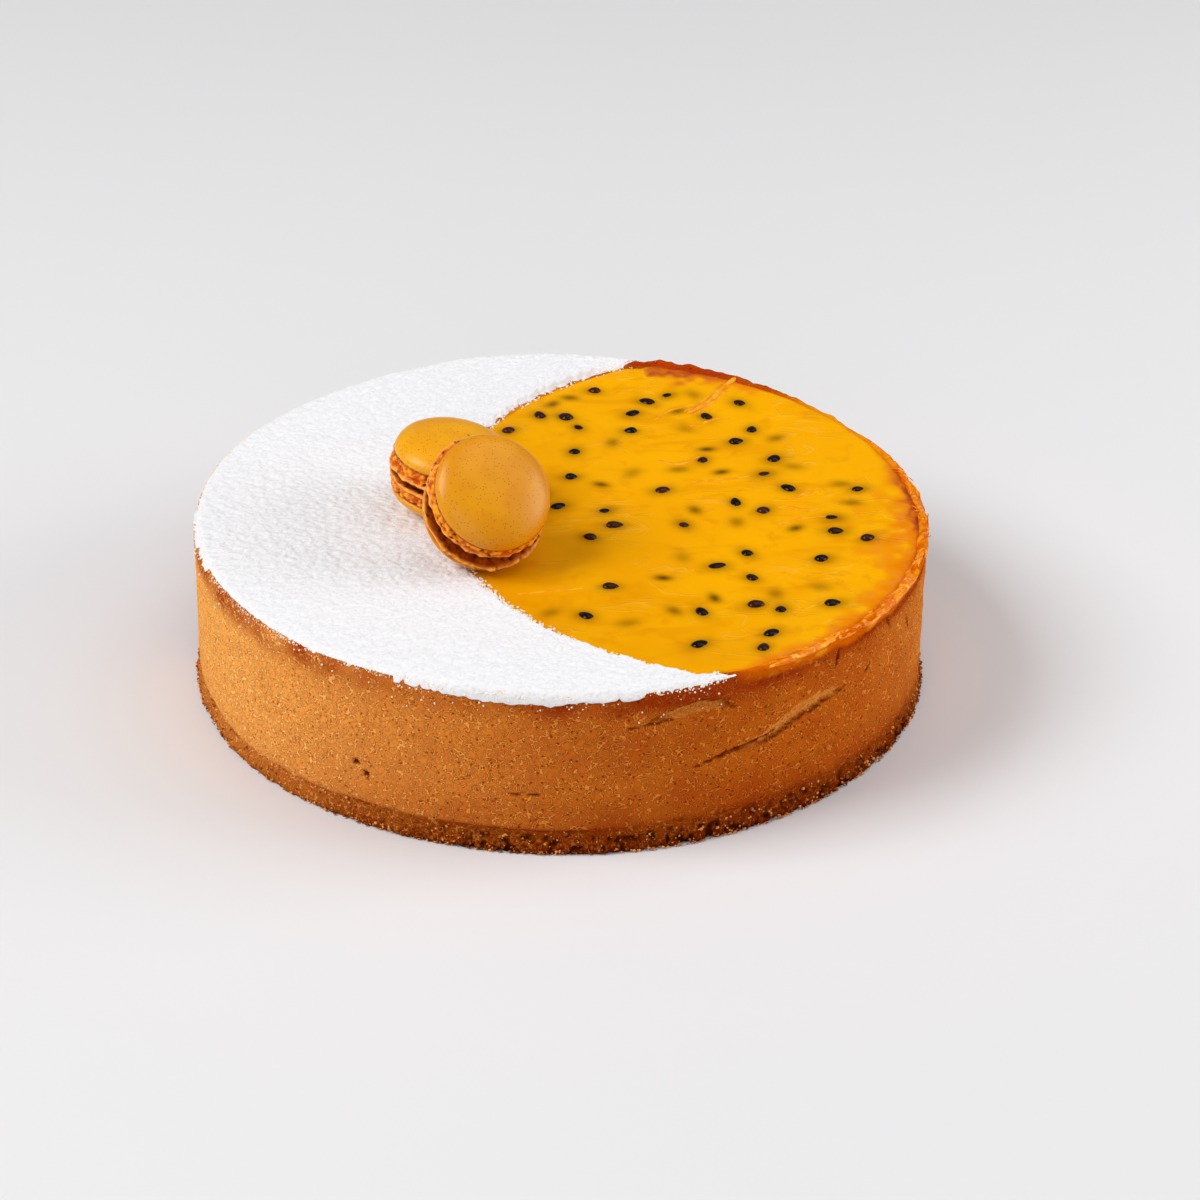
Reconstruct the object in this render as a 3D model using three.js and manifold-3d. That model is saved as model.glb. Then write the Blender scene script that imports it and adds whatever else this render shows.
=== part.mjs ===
// Passion fruit tart: a deep pastry case of custard with seeds, a crescent of icing sugar and two macarons.
// Millimetres, +Z up, origin at the middle of the flat base. The sugar lies towards -X and -Y is the front.
import * as THREE from "three";
import { mergeVertices } from "three/addons/utils/BufferGeometryUtils.js";
import Module from "manifold-3d";

const wasm = await Module();
wasm.setup();

// Driving dimensions
const GAP = 0.3; // clearance between pieces that touch
const CASE = {
  radius: 120, // outside of the pastry wall
  height: 56, // base to the crest of the rim
  wall: 6,
  floor: 7,
  band: 7, // height of the rough band where the side strip meets the base
  crease: 0.7, // depth of the line above that band
  crumb: 0.6, // roughness of the band
  rimCrumb: 0.9, // how far the crest drops between its lumps
  segments: 120,
};
const CUSTARD = {
  drop: 2, // surface below the crest
  climb: 0.8, // how far it creeps up the wall
  ripple: 0.1,
  segments: 72,
};
const SUGAR = {
  stencil: 118.9, // radius of the disc that kept the custard clear
  shift: 80.4, // from the tart's middle to the disc's middle
  turn: 6, // direction of that shift, degrees from +X
  thickness: 1.2,
  overhang: 1.1, // edge of the sugar inside the case's outside
  tip: 1.6, // width where the crescent's tips end
  fray: 0.5, // roughness of its inner edge
  segments: 64,
};
const SEED = {
  count: 46,
  length: 6.6,
  width: 4.2,
  thickness: 2.8,
  proud: 0.8, // height that stands out of the custard
  spacing: 7.5, // least distance between two middles
  inset: 11, // least distance from the wall's outside
  margin: 5.5, // least distance from the sugar's edge
};
// The nearly flat macaron on the sugar's edge. Turn is the direction in which it leans.
const BACK = {
  lip: 20, // radius of the frilled foot
  dome: 19.1, // radius of the smooth shell above it
  foot: 5.2,
  rise: 7, // dome above the foot
  cream: 2.4,
  slip: [0.4, 0.3], // of the lower shell, downhill and sideways
  x: -36.4,
  y: 3.7,
  tilt: 7.5,
  turn: -16.7,
};
// The macaron that stands on the custard and leans on the other
const FRONT = {
  lip: 20.4,
  dome: 19.3,
  foot: 4.3,
  rise: 6.6,
  cream: 2.6,
  slip: [2.6, -1.1],
  x: -23.8,
  y: -29.1,
  tilt: 46.6,
  turn: -61.4,
};
const FRILL = 0.5; // roughness of a foot
const CREAM_INSET = 2; // cream's edge inside the foot's
const MACARON_SEGMENTS = 30;
const CRACKS = [
  { from: [-75.5, 45.6], to: [-63.2, 45.8], bow: 1.8, width: 1.7, depth: 1.6, skew: 1 },
  { from: [-68.5, 27.4], to: [-42.4, 37.4], bow: -0.6, width: 2.2, depth: 1.9, skew: 2.1 },
  { from: [-44.2, 45.2], to: [-43.9, 51.8], bow: 0, width: 0.5, depth: 1.2, skew: 1 },
];
const RIM_WAVES = [
  { times: 1, height: 0.7, phase: 25 },
  { times: 3, height: 0.35, phase: 70 },
  { times: 7, height: 0.25, phase: 10 },
];
const SIDE_WAVES = [
  { times: 2, height: 0.25, phase: 40 },
  { times: 6, height: 0.2, phase: 115 },
];

const CREST = CASE.radius - CASE.wall / 2;
const INSIDE = CASE.radius - CASE.wall;
const CUSTARD_TOP = CASE.height - CUSTARD.drop;
const SUGAR_UNDERSIDE = CUSTARD_TOP + CUSTARD.ripple + GAP;
const TAU = 2 * Math.PI;
const { degToRad, lerp, smoothstep } = THREE.MathUtils;

// Repeatable draws between 0 and 1
function drawsFrom(start) {
  let state = start;
  return () => (state = (state * 16807) % 2147483647) / 2147483647;
}

function sumOfWaves(list, angle) {
  return list.reduce((sum, w) => sum + w.height * Math.cos(w.times * angle + degToRad(w.phase)), 0);
}

const rimLift = (angle) => sumOfWaves(RIM_WAVES, angle);
const sideScale = (angle) => 1 + sumOfWaves(SIDE_WAVES, angle) / CASE.radius;

// One closed surface: equal corners shared, flattened triangles dropped
function closed(geometry) {
  const bare = new THREE.BufferGeometry();
  bare.setAttribute("position", geometry.getAttribute("position"));
  bare.setIndex(geometry.index);
  const merged = mergeVertices(bare, 1e-4);
  const corners = merged.index.array;
  const kept = [];
  for (let i = 0; i < corners.length; i += 3) {
    const [a, b, c] = corners.slice(i, i + 3);
    if (a !== b && b !== c && c !== a) kept.push(a, b, c);
  }
  merged.setIndex(kept);
  merged.computeVertexNormals();
  return merged;
}

function surfaceFrom(vertices, faces) {
  const geometry = new THREE.BufferGeometry();
  geometry.setAttribute("position", new THREE.Float32BufferAttribute(vertices, 3));
  geometry.setIndex(faces);
  return closed(geometry);
}

function solidFrom(geometry) {
  const surface = closed(geometry);
  const vertProperties = new Float32Array(surface.getAttribute("position").array);
  const triVerts = new Uint32Array(surface.index.array);
  return new wasm.Manifold(new wasm.Mesh({ numProp: 3, vertProperties, triVerts }));
}

function geometryFrom(solid) {
  const { vertProperties, triVerts } = solid.getMesh();
  return surfaceFrom(Array.from(vertProperties), Array.from(triVerts));
}

// A turned body about Z. Its profile runs anticlockwise from the foot of the axis: [radius, height, part].
// bend(radius, height, angle, part, grit) gives a vertex its radius and height; grit is a draw of its own.
function turned(profile, segments, start, bend) {
  const points = profile.map(([r, z]) => new THREE.Vector2(r, z));
  const geometry = new THREE.LatheGeometry(points, segments);
  const position = geometry.getAttribute("position");
  const draw = drawsFrom(start);
  const grit = Array.from({ length: segments * profile.length }, draw);
  for (let i = 0; i < position.count; i++) {
    const place = i % grit.length;
    const [radius, height, part] = profile[i % profile.length];
    const angle = (Math.floor(place / profile.length) / segments) * TAU;
    const [r, z] = bend(radius, height, angle, part, grit[place]);
    position.setXYZ(i, r * Math.cos(angle), r * Math.sin(angle), z);
  }
  return closed(geometry);
}

// The pastry case: flat base, rough band, wall, lumpy rim and the inside that the custard fills
function caseGeometry() {
  const { radius, height, wall, floor, band, crease } = CASE;
  const profile = [
    [0, 0],
    [radius - 1.8, 0],
    [radius, 0.15 * band, "band"],
    [radius + 0.3, 0.45 * band, "band"],
    [radius + 0.1, band - 1.4, "band"],
    [radius - crease, band, "band"],
    [radius, band + 1.6],
    [radius, 0.42 * height],
    [radius + 0.2, 0.7 * height],
    [radius, height - wall],
    [radius - 0.5, height - 2, "rim"],
    [CREST + 1.2, height - 0.5, "rim"],
    [CREST, height, "rim"],
    [CREST - 1.1, height - 0.35, "rim"],
    [INSIDE + 0.7, CUSTARD_TOP + 0.4],
    [INSIDE + 0.2, CUSTARD_TOP - 1.2],
    [INSIDE, height - wall],
    [INSIDE, floor + 3],
    [INSIDE - 3, floor],
    [0, floor],
  ];
  const body = turned(profile, CASE.segments, 20117, (r, z, angle, part, grit) => {
    const nearRim = smoothstep(z, 0.7 * height, height);
    const scaled = r * sideScale(angle);
    const lifted = z + nearRim * rimLift(angle);
    if (part === "rim") return [scaled, lifted - CASE.rimCrumb * grit ** 2];
    if (part === "band") return [scaled + CASE.crumb * (grit - 0.6), lifted + CASE.crumb * (grit - 0.5)];
    return [scaled, lifted];
  });
  const cut = (solid, crack) => solid.subtract(solidFrom(blade(crack)));
  return geometryFrom(CRACKS.reduce(cut, solidFrom(body)));
}

// A three-cornered blade that follows the wall and cuts one split. Its ends are [angle in degrees, height].
function blade({ from, to, bow, width, depth, skew }) {
  const steps = 12;
  const outside = CASE.radius + 2;
  const run = new THREE.Vector2(degToRad(to[0] - from[0]) * CASE.radius, to[1] - from[1]).normalize();
  const vertices = [];
  const faces = [];
  for (let i = 0; i <= steps; i++) {
    const t = i / steps;
    const open = Math.max(0.06, Math.sin(Math.PI * t ** skew));
    const angle = degToRad(lerp(from[0], to[0], t));
    const middle = lerp(from[1], to[1], t) + bow * Math.sin(Math.PI * t);
    const corners = [
      [outside, width * open],
      [CASE.radius - depth * Math.sqrt(open), 0.3 * width * open],
      [outside, -width * open],
    ];
    for (const [r, across] of corners) {
      const turn = angle - (run.y * across) / CASE.radius;
      vertices.push(r * Math.cos(turn), r * Math.sin(turn), middle + run.x * across);
    }
  }
  for (let i = 0; i < steps; i++)
    for (let k = 0; k < 3; k++) {
      const a = 3 * i + k;
      const b = 3 * i + ((k + 1) % 3);
      faces.push(a, a + 3, b, b, a + 3, b + 3);
    }
  const last = 3 * steps;
  faces.push(0, 1, 2, last, last + 2, last + 1);
  return surfaceFrom(vertices, faces);
}

// The custard, with the seeds that stand out of it
function custardGeometry() {
  const edge = INSIDE - GAP;
  const profile = [
    [0, CASE.floor + GAP],
    [edge - 3, CASE.floor + GAP],
    [edge, CASE.floor + 3 + GAP],
    [edge, CUSTARD_TOP + CUSTARD.climb, "top"],
    [edge - 2, CUSTARD_TOP + 0.3 * CUSTARD.climb, "top"],
    [edge - 7, CUSTARD_TOP, "top"],
    [0.78 * edge, CUSTARD_TOP, "top"],
    [0.42 * edge, CUSTARD_TOP, "top"],
    [0, CUSTARD_TOP, "top"],
  ];
  const body = turned(profile, CUSTARD.segments, 1, (r, z, angle, part) => {
    const wave = Math.sin(0.09 * r * Math.cos(angle)) * Math.cos(0.07 * r * Math.sin(angle));
    return [r * sideScale(angle), part === "top" ? z + CUSTARD.ripple * wave : z];
  });
  const join = (solid, place) => solid.add(solidFrom(seed(place)));
  return geometryFrom(seedPlaces().reduce(join, solidFrom(body)));
}

// Drawn at random over the bare custard, clear of the wall, the sugar, the front macaron and each other
function seedPlaces() {
  const draw = drawsFrom(4711);
  const reach = CASE.radius - SEED.inset;
  const shiftTurn = degToRad(SUGAR.turn);
  const stencil = { x: SUGAR.shift * Math.cos(shiftTurn), y: SUGAR.shift * Math.sin(shiftTurn) };
  const places = [];
  while (places.length < SEED.count) {
    const x = reach * (2 * draw() - 1);
    const y = reach * (2 * draw() - 1);
    const turn = Math.PI * draw();
    const size = 0.88 + 0.24 * draw();
    const proud = SEED.proud * (0.6 + 0.6 * draw());
    const from = (other) => Math.hypot(x - other.x, y - other.y);
    const clear =
      Math.hypot(x, y) < reach &&
      from(stencil) < SUGAR.stencil - SEED.margin &&
      from(FRONT) > FRONT.lip + SEED.length &&
      places.every((other) => from(other) > SEED.spacing);
    if (clear) places.push({ x, y, turn, size, proud });
  }
  return places;
}

function seed({ x, y, turn, size, proud }) {
  const geometry = new THREE.SphereGeometry(0.5, 7, 4);
  geometry.rotateX(Math.PI / 2);
  geometry.scale(SEED.length * size, SEED.width * size, SEED.thickness * size);
  geometry.rotateZ(turn);
  geometry.translate(x, y, CUSTARD_TOP + proud - (SEED.thickness * size) / 2);
  return geometry;
}

// Underside of the icing sugar: level on the custard, up over the crest and down its outer shoulder
function sugarUnderside(r, angle) {
  const up = smoothstep(r, CREST - 13, CREST - 3);
  const down = smoothstep(r, CREST + 0.4, CASE.radius);
  return SUGAR_UNDERSIDE + (CUSTARD.drop + rimLift(angle)) * up - 1.8 * down;
}

// The crescent of sugar, in strips across from the rim to the stencil's edge
function sugarGeometry() {
  const outer = CASE.radius - SUGAR.overhang;
  const turn = degToRad(SUGAR.turn);
  const reach = outer - SUGAR.tip;
  const half = Math.acos((reach ** 2 + SUGAR.shift ** 2 - SUGAR.stencil ** 2) / (2 * reach * SUGAR.shift));
  const shares = [0, 0.02, 0.05, 0.1, 0.2, 0.55, 0.97, 1]; // of the way across
  const edge = shares.length - 1;
  const end = SUGAR.segments;
  const draw = drawsFrom(909);
  const vertices = [];
  const faces = [];
  for (let i = 0; i <= end; i++) {
    const away = half + ((TAU - 2 * half) * i) / end;
    const angle = turn + away;
    const chord = Math.sqrt(SUGAR.stencil ** 2 - (SUGAR.shift * Math.sin(away)) ** 2);
    const inner = SUGAR.shift * Math.cos(away) + chord + SUGAR.fray * (draw() - 0.5);
    shares.forEach((share, k) => {
      const r = lerp(outer, inner, share);
      const under = sugarUnderside(r, angle);
      const thin = k === 0 || k === edge ? 0.4 : 1;
      const top = under + SUGAR.thickness * thin * (0.9 + 0.2 * draw());
      const x = r * sideScale(angle) * Math.cos(angle);
      const y = r * sideScale(angle) * Math.sin(angle);
      vertices.push(x, y, top, x, y, under);
    });
  }
  const top = (i, k) => 2 * (i * shares.length + k);
  const under = (i, k) => top(i, k) + 1;
  const quad = (a, b, c, d) => faces.push(a, b, c, a, c, d);
  for (let i = 0; i < end; i++) {
    for (let k = 0; k < edge; k++) {
      quad(top(i, k), top(i + 1, k), top(i + 1, k + 1), top(i, k + 1));
      quad(under(i, k), under(i, k + 1), under(i + 1, k + 1), under(i + 1, k));
    }
    quad(under(i, 0), under(i + 1, 0), top(i + 1, 0), top(i, 0));
    quad(top(i, edge), top(i + 1, edge), under(i + 1, edge), under(i, edge));
  }
  for (let k = 0; k < edge; k++) {
    quad(under(0, k), top(0, k), top(0, k + 1), under(0, k + 1));
    quad(top(end, k), under(end, k), under(end, k + 1), top(end, k + 1));
  }
  return surfaceFrom(vertices, faces);
}

// One macaron shell, flat side down on Z = 0: a frilled foot, then a smooth dome
function shellGeometry({ lip, dome, foot, rise }, start) {
  const arc = [0, 0.28, 0.55, 0.8, 1.06, 1.3];
  const profile = [
    [0, 0],
    [lip - 1.4, 0],
    [lip - 0.2, 0.7, "foot"],
    [lip - 0.9, 1.7, "foot"],
    [lip - 0.3, 2.7, "foot"],
    [dome - 0.9, foot - 0.4, "foot"],
    ...arc.map((t) => [dome * Math.cos(t) ** 0.8, foot + 0.4 + (rise - 0.4) * Math.sin(t)]),
    [0, foot + rise],
  ];
  return turned(profile, MACARON_SEGMENTS, start, (r, z, angle, part, grit) => {
    const push = part === "foot" ? FRILL * (grit - 0.5) : 0;
    return [r + push, z + 0.7 * push];
  });
}

function creamGeometry({ lip, cream }) {
  const half = cream / 2 - GAP;
  const r = lip - CREAM_INSET;
  const profile = [
    [0, -half],
    [r - 0.8, -half],
    [r, 0],
    [r - 0.8, half],
    [0, half],
  ];
  return turned(profile, MACARON_SEGMENTS, 1, (radius, z) => [radius, z]);
}

// Materials
const pastry = new THREE.MeshStandardMaterial({ color: 0xc07a35, roughness: 0.85, metalness: 0 });
const custard = new THREE.MeshStandardMaterial({ color: 0xeda20a, roughness: 0.3, metalness: 0 });
const icing = new THREE.MeshStandardMaterial({ color: 0xf6f5f6, roughness: 1, metalness: 0 });
const almond = new THREE.MeshStandardMaterial({ color: 0xe3a034, roughness: 0.6, metalness: 0 });
const cream = new THREE.MeshStandardMaterial({ color: 0xb5651d, roughness: 0.6, metalness: 0 });

function piece(name, geometry, material) {
  const mesh = new THREE.Mesh(geometry, material);
  mesh.name = name;
  return mesh;
}

// Two shells with cream between them, tilted and stood on a ground height. The lower shell has slipped.
function macaron(name, shape, ground, start) {
  const [downhill, sideways] = shape.slip;
  const group = new THREE.Group();
  const upper = piece(`macaron_${name}_upper_shell`, shellGeometry(shape, start), almond);
  const lower = piece(`macaron_${name}_lower_shell`, shellGeometry(shape, start + 1), almond);
  const middle = piece(`macaron_${name}_cream`, creamGeometry(shape), cream);
  upper.position.set(0, 0, shape.cream / 2);
  lower.rotation.set(Math.PI, 0, 0);
  lower.position.set(downhill, sideways, -shape.cream / 2);
  middle.position.set(downhill / 2, sideways / 2, 0);
  group.add(upper, lower, middle);
  group.rotation.set(0, degToRad(shape.tilt), degToRad(shape.turn), "ZYX");
  group.position.set(shape.x, shape.y, 0);
  group.updateMatrixWorld(true);
  const lowest = new THREE.Box3().setFromObject(group, true).min.z;
  group.position.z = ground + GAP - lowest;
  return group;
}

const tart = new THREE.Group();
tart.add(
  piece("crust", caseGeometry(), pastry),
  piece("filling", custardGeometry(), custard),
  piece("sugar", sugarGeometry(), icing),
  macaron("back", BACK, SUGAR_UNDERSIDE, 31),
  macaron("front", FRONT, CUSTARD_TOP + CUSTARD.ripple, 57),
);

export default tart;
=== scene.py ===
import itertools
import math

import bpy
import numpy as np
from mathutils import Matrix, Vector


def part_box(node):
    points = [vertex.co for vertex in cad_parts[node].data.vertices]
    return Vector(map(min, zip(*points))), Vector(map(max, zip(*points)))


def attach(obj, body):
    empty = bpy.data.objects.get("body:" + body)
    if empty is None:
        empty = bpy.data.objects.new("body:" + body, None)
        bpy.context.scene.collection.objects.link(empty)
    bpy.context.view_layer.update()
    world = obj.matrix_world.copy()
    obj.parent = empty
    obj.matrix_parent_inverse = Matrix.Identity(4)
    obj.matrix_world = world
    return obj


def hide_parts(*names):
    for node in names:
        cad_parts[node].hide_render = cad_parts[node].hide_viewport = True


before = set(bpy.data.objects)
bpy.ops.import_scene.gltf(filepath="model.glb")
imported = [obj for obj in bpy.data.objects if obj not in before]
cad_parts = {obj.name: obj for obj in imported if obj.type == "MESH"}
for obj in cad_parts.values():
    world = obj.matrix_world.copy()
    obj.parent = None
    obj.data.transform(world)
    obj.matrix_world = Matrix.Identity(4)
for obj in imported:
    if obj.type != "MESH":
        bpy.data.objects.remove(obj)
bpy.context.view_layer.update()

print("frame loaded,", len(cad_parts), "nodes")

# The pieces' sizes are in millimetres and become metres when a mesh is made.
tart = {
    "radius": 120.0, "height": 56.0, "wall": 6.0, "floor": 7.0,
    "custardTop": 54.0, "custardFoot": 7.3, "rimCrown": 2.8,  # height of the rim's round top
    "rimWaves": [(1, 0.7, 25), (3, 0.35, 70), (7, 0.25, 10)],  # times round, height, phase in degrees
    "sideWaves": [(2, 0.25, 40), (6, 0.2, 115)], "rightSag": 1.6,
    "runOver": (33, 15),  # custard has run over the rim here: middle and width in degrees
    "stencilRadius": 118.9, "stencilShift": 80.4, "stencilTurn": 6.0,  # the disc that kept the sugar off
}
crestRadius = tart["radius"] - tart["wall"] / 2
insideRadius = tart["radius"] - tart["wall"]
rimBase = tart["height"] - tart["rimCrown"]
stencilAngle = math.radians(tart["stencilTurn"])
stencilCentre = tart["stencilShift"] * np.array((math.cos(stencilAngle), math.sin(stencilAngle)))


# Repeatable randomness

def drawsFrom(start):  # numbers from 0 to 1, by the rule that the solids use
    state, prime = start, 2147483647
    while True:
        state = state * 16807 % prime
        yield state / prime


def drawPair(draw, reach):  # two numbers from -reach to reach
    return reach * (2 * draw() - 1), reach * (2 * draw() - 1)


def latticeDraws(cell, start):  # a number from 0 to 1 for each cell of a lattice
    mixed = cell[..., 0] * 374761393 + cell[..., 1] * 668265263 + cell[..., 2] * 1442695041 + start * 974711
    mixed = mixed & 0xFFFFFFFF
    mixed = ((mixed ^ (mixed >> 13)) * 1274126177) & 0xFFFFFFFF
    return ((mixed ^ (mixed >> 16)) & 0xFFFFFF) / 0xFFFFFF


def noiseAt(points, size, start):  # smooth bumps of about this size, from -1 to 1
    scaled = points / size
    base = np.floor(scaled).astype(np.int64)
    part = scaled - base
    part = part * part * (3 - 2 * part)
    total = np.zeros(points.shape[:-1])
    for corner in np.ndindex(2, 2, 2):
        weight = np.prod(np.where(np.array(corner) == 1, part, 1 - part), axis=-1)
        total += weight * latticeDraws(base + np.array(corner), start)
    return 2 * total - 1


def bumps(points, *terms):  # sum of noises, each with its height, size and start
    return sum(height * noiseAt(points, size, start) for height, size, start in terms)


def cellsAt(points, size, start):  # distance to the nearest scattered point, and that point's draw
    scaled = points / size
    base = np.floor(scaled).astype(np.int64)
    nearest = np.full(points.shape[:-1], 9.0)
    own = np.zeros(points.shape[:-1])
    for offset in np.ndindex(3, 3, 3):
        cell = base + np.array(offset) - 1
        place = cell + np.stack([latticeDraws(cell, start + k) for k in range(3)], axis=-1)
        distance = np.linalg.norm(place - scaled, axis=-1)
        closer = distance < nearest
        nearest = np.where(closer, distance, nearest)
        own = np.where(closer, latticeDraws(cell, start + 3), own)
    return nearest * size, own


def ease(value, low, high):  # 0 at low, 1 at high, smooth between
    share = np.clip((value - low) / (high - low), 0, 1)
    return share * share * (3 - 2 * share)


def hump(value, centre, width):  # 1 at the centre, fading on both sides
    return np.exp(-((value - centre) / width) ** 2)


def waves(terms, angle):
    return sum(height * np.cos(times * angle + math.radians(phase)) for times, height, phase in terms)


def degreesRound(angle):  # from -180 to 180
    return np.degrees((angle + math.pi) % (2 * math.pi) - math.pi)


def rimLift(angle):  # uneven, and sunk a little on the right
    return waves(tart["rimWaves"], angle) - tart["rightSag"] * hump(degreesRound(angle), 5, 55)


def sideScale(angle):
    return 1 + waves(tart["sideWaves"], angle) / tart["radius"]


def footShare(height):  # 1 at the very foot of the wall
    return 1 - ease(height, 1.5, 5.0)


def footFlare(height, turn):  # the foot spreads, most in front
    return footShare(height) * (0.5 + 1.3 * hump(turn, -90, 75))


def stencilAway(points):  # distance from the middle of the sugar's stencil
    return np.hypot(points[..., 0] - stencilCentre[0], points[..., 1] - stencilCentre[1])


def bareShare(points):  # 1 where no sugar fell
    return ease(tart["stencilRadius"] - stencilAway(points), 0, 6)


# Mesh making

def joined(parts):  # several (points, faces) as one
    points, faces, count = [], [], 0
    for partPoints, partFaces in parts:
        faces += [[count + k for k in face] for face in partFaces]
        points.append(partPoints)
        count += len(partPoints)
    return np.vstack(points), faces


def roundAngles(count):  # evenly round the circle, as a column
    return (np.arange(count) / count * 2 * math.pi)[:, None]


def roundGrid(radius, height, angle):  # columns by rows of points about the upright axis
    return np.stack((radius * np.cos(angle), radius * np.sin(angle), height), axis=-1)


def profileRows(corners):  # corners are (radius, height, spacing to the next corner)
    rows = []
    for (r0, z0, spacing), (r1, z1, _) in zip(corners, corners[1:]):
        count = max(1, round(math.hypot(r1 - r0, z1 - z0) / spacing))
        rows += [(r0 + (r1 - r0) * k / count, z0 + (z1 - z0) * k / count) for k in range(count)]
    rows = np.array(rows + [corners[-1][:2]])
    along = np.gradient(rows, axis=0)
    normal = np.stack((along[:, 1], -along[:, 0]), axis=-1)
    return rows[:, 0], rows[:, 1], normal / np.linalg.norm(normal, axis=1)[:, None]


def closedRound(grid, lowPole, highPole):  # a turned grid closed on the axis at both ends
    columns, rows = grid.shape[:2]
    points = np.vstack((grid.reshape(-1, 3), [lowPole, highPole]))
    ring = np.arange(columns)
    after = (ring + 1) % columns
    row = np.arange(rows - 1)[None, :]
    here, there = ring[:, None] * rows + row, after[:, None] * rows + row
    faces = np.stack((here, there, there + 1, here + 1), axis=-1).reshape(-1, 4).tolist()
    faces += [(columns * rows, b * rows, a * rows) for a, b in zip(ring, after)]
    faces += [(columns * rows + 1, (a + 1) * rows - 1, (b + 1) * rows - 1) for a, b in zip(ring, after)]
    return points, faces


def placed(name, data):  # a new object in the scene
    made = bpy.data.objects.new(name, data)
    bpy.context.scene.collection.objects.link(made)
    return made


def meshPiece(name, points, faces, finish, node=None, marks=None):
    mesh = bpy.data.meshes.new(name)
    mesh.from_pydata((points * 0.001).tolist(), [], faces)
    for mark, values in (marks or {}).items():
        padded = np.zeros(len(points), np.float32)
        padded[:values.size] = values.ravel()
        mesh.attributes.new(mark, "FLOAT", "POINT").data.foreach_set("value", padded)
    mesh.shade_smooth()
    mesh.materials.append(finish.material)
    piece = placed(name, mesh)
    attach(piece, "root")
    if node:
        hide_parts(node)
    print(name, len(points), "points")


def lumps(places, sizes, start, flat=1.0):  # one small uneven stone at each place, joined
    gold = (1 + math.sqrt(5)) / 2
    corners = np.array([(a, b * gold, 0) for a in (-1, 1) for b in (-1, 1)], float)
    corners = np.vstack([np.roll(corners, k, axis=1) for k in range(3)])
    corners /= np.linalg.norm(corners, axis=1)[:, None]
    near = np.linalg.norm(corners[:, None] - corners[None], axis=-1) < 1.2
    sides = []
    for a, b, c in itertools.combinations(range(len(corners)), 3):
        if near[a, b] and near[b, c] and near[a, c]:
            outward = np.dot(np.cross(corners[b] - corners[a], corners[c] - corners[a]), corners[a]) > 0
            sides.append((a, b, c) if outward else (a, c, b))
    random = np.random.default_rng(start)
    uneven = 0.7 + 0.6 * random.random((len(places), len(corners), 1))
    turn = random.random((len(places), 1)) * 2 * math.pi
    cosine, sine = np.cos(turn), np.sin(turn)
    x, y, z = corners.T
    turned = np.stack((x * cosine - y * sine, x * sine + y * cosine, flat * z + 0 * turn), axis=-1)
    points = places[:, None] + turned * uneven * sizes[:, None, None]
    faces = (len(corners) * np.arange(len(places))[:, None, None] + np.array(sides)).reshape(-1, 3)
    return points.reshape(-1, 3), faces.tolist()


# Finishes: Value wraps a node's socket so that sums and products are written as Python

class Value:
    def __init__(self, finish, socket):
        self.finish = finish
        self.socket = socket

    def maths(self, operation, *values):
        return self.finish.node("Math", {"operation": operation}, dict(enumerate(values)))

    def __add__(self, other):
        return self.maths("ADD", self, other)

    def __sub__(self, other):
        return self.maths("SUBTRACT", self, other)

    def __rsub__(self, other):
        return self.maths("SUBTRACT", other, self)

    def __mul__(self, other):
        return self.maths("MULTIPLY", self, other)

    __radd__ = __add__
    __rmul__ = __mul__

    def __abs__(self):
        return self.maths("ABSOLUTE", self)

    def larger(self, other):
        return self.maths("MAXIMUM", self, other)

    def above(self, low, high):  # 0 under low, 1 over high
        limits = {"Value": self, "From Min": low, "From Max": high}
        return self.finish.node("MapRange", {"interpolation_type": "SMOOTHSTEP"}, limits)


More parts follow.
